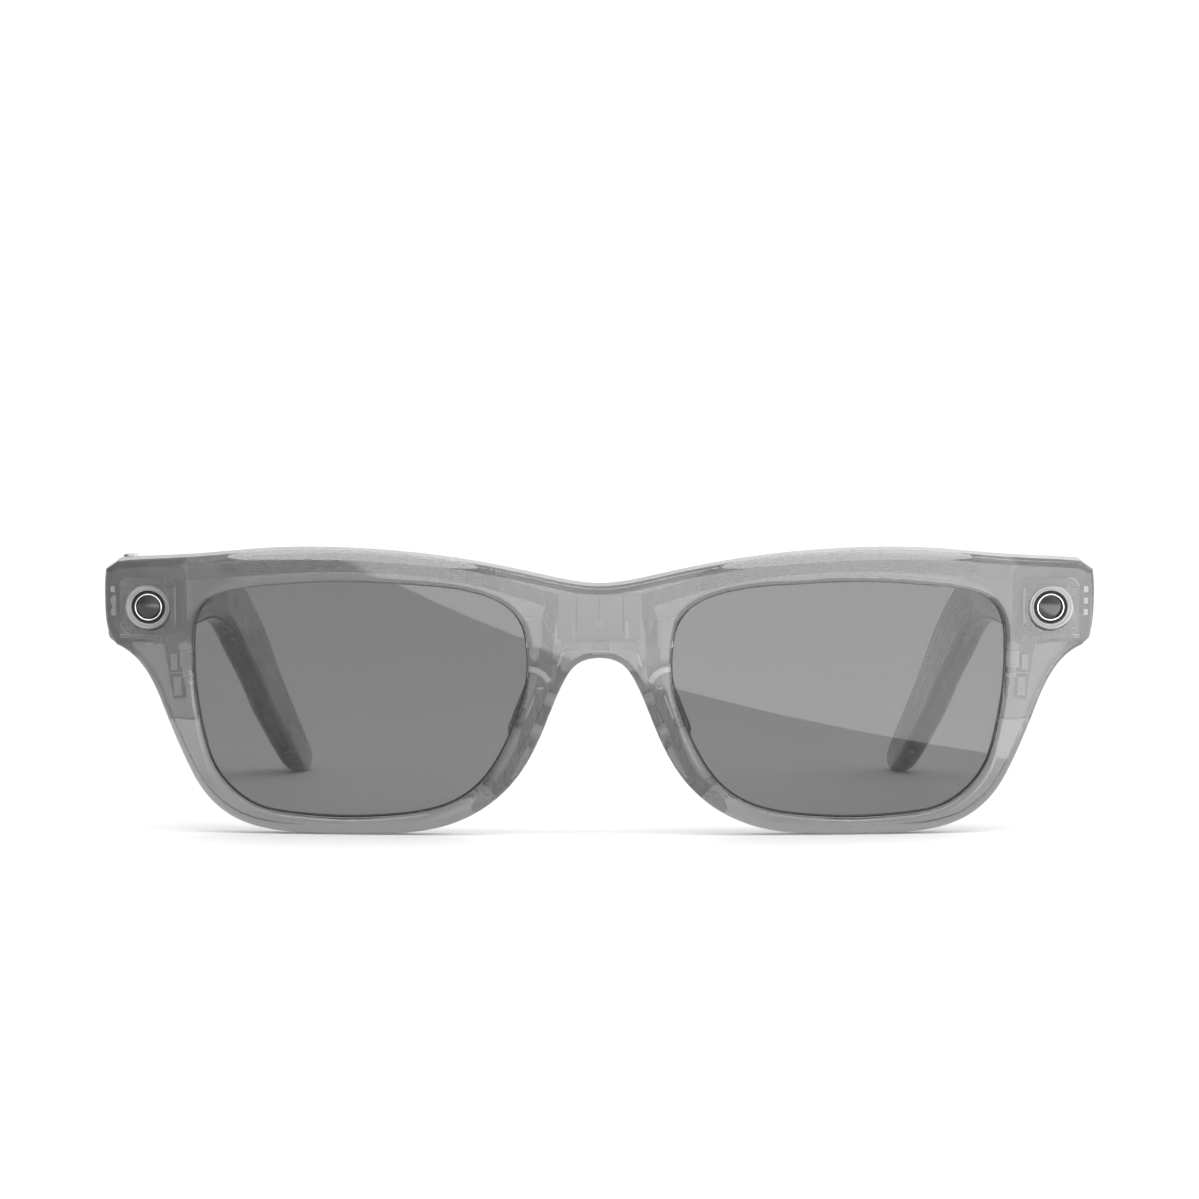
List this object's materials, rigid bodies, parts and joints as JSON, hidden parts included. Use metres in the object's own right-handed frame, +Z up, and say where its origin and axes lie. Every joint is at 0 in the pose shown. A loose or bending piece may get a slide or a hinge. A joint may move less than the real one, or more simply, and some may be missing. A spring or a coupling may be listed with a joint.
{
  "type": "smart glasses",
  "caption": "Clear grey framed smart glasses with tinted lenses, a camera at each end of the front, and folding temples that hold the battery, board, speakers and capture button.",
  "frame": {"origin": "centre of the footprint on the table, with the temples open", "axes": "+X to the viewer's right (the wearer's left), +Y back along the temples, +Z up; the lenses face -Y"},
  "size_m": [0.1508, 0.1468, 0.0438],
  "materials": {
    "clear_plastic": "polished translucent grey",
    "lens_glass": "polished, lightly tinted",
    "camera_glass": "polished dark",
    "ring_glass": "polished translucent",
    "chrome": "polished",
    "button_plastic": "satin grey",
    "housing_plastic": "fine matt",
    "sensor_silicon": "polished",
    "flex_film": "film",
    "circuit_board": "solder mask",
    "shield_steel": "brushed",
    "battery_foil": "foil",
    "mesh_steel": "fine mesh",
    "gold_contact": "plated",
    "light_guide": "frosted",
    "core_wire": "drawn",
    "hinge_steel": "brushed"
  },
  "bodies": {
    "front": {"bridge_microphone": "mesh_steel", "camera_board_left": "circuit_board", "camera_board_right": "circuit_board", "camera_housing_left": "housing_plastic", "camera_housing_right": "housing_plastic", "camera_lens_left": "camera_glass", "camera_lens_right": "camera_glass", "camera_outer_ring_left": "ring_glass", "camera_outer_ring_right": "ring_glass", "camera_sensor_left": "sensor_silicon", "camera_sensor_right": "sensor_silicon", "camera_trim_ring_left": "chrome", "camera_trim_ring_right": "chrome", "charging_contact_left": "gold_contact", "charging_contact_right": "gold_contact", "front_flex": "flex_film", "front_frame": "clear_plastic", "hinge_front_leaf_left": "hinge_steel", "hinge_front_leaf_right": "hinge_steel", "hinge_front_leaf_screws_left": "hinge_steel", "hinge_front_leaf_screws_right": "hinge_steel", "hinge_screw_left": "hinge_steel", "hinge_screw_right": "hinge_steel", "lens_left": "lens_glass", "lens_right": "lens_glass", "nose_pad_left": "clear_plastic", "nose_pad_right": "clear_plastic", "rear_cover": "clear_plastic", "recording_light": "light_guide"},
    "temple_left": {"temple_left_antenna_flex": "flex_film", "temple_left_battery": "battery_foil", "temple_left_hinge_leaf": "hinge_steel", "temple_left_hinge_leaf_screws": "hinge_steel", "temple_left_inner_cover": "clear_plastic", "temple_left_microphone": "mesh_steel", "temple_left_outer_shell": "clear_plastic", "temple_left_power_switch_body": "housing_plastic", "temple_left_speaker": "housing_plastic", "temple_left_speaker_mesh": "mesh_steel", "temple_left_tip_core": "core_wire"},
    "temple_right": {"temple_right_button_bezel": "chrome", "temple_right_button_switch": "housing_plastic", "temple_right_hinge_leaf": "hinge_steel", "temple_right_hinge_leaf_screws": "hinge_steel", "temple_right_inner_cover": "clear_plastic", "temple_right_main_board": "circuit_board", "temple_right_memory_chip": "housing_plastic", "temple_right_outer_shell": "clear_plastic", "temple_right_processor_shield": "shield_steel", "temple_right_speaker": "housing_plastic", "temple_right_speaker_mesh": "mesh_steel", "temple_right_tip_core": "core_wire", "temple_right_touchpad_sensor": "sensor_silicon"},
    "capture_button": {"capture_button": "button_plastic"},
    "power_switch": {"power_switch_slider": "button_plastic"}
  },
  "joints": [
    {"name": "temple_left_fold", "type": "hinge", "parent": "front", "child": "temple_left", "pos_m": [0.0652, -0.05361, 0.035], "axis": [0, 0, 1], "range_deg": [0, 86]},
    {"name": "temple_right_fold", "type": "hinge", "parent": "front", "child": "temple_right", "pos_m": [-0.0652, -0.05361, 0.035], "axis": [0, 0, -1], "range_deg": [0, 78]},
    {"name": "capture_button_press", "type": "slide", "parent": "temple_right", "child": "capture_button", "axis": [0, 0, -1], "range_m": [0, 0.0004], "stiffness_N_per_m": 400, "springref_m": -0.0003},
    {"name": "power_switch_slide", "type": "slide", "parent": "temple_left", "child": "power_switch", "axis": [-0.0628, 0.998, 0], "range_m": [0, 0.002]}
  ]
}
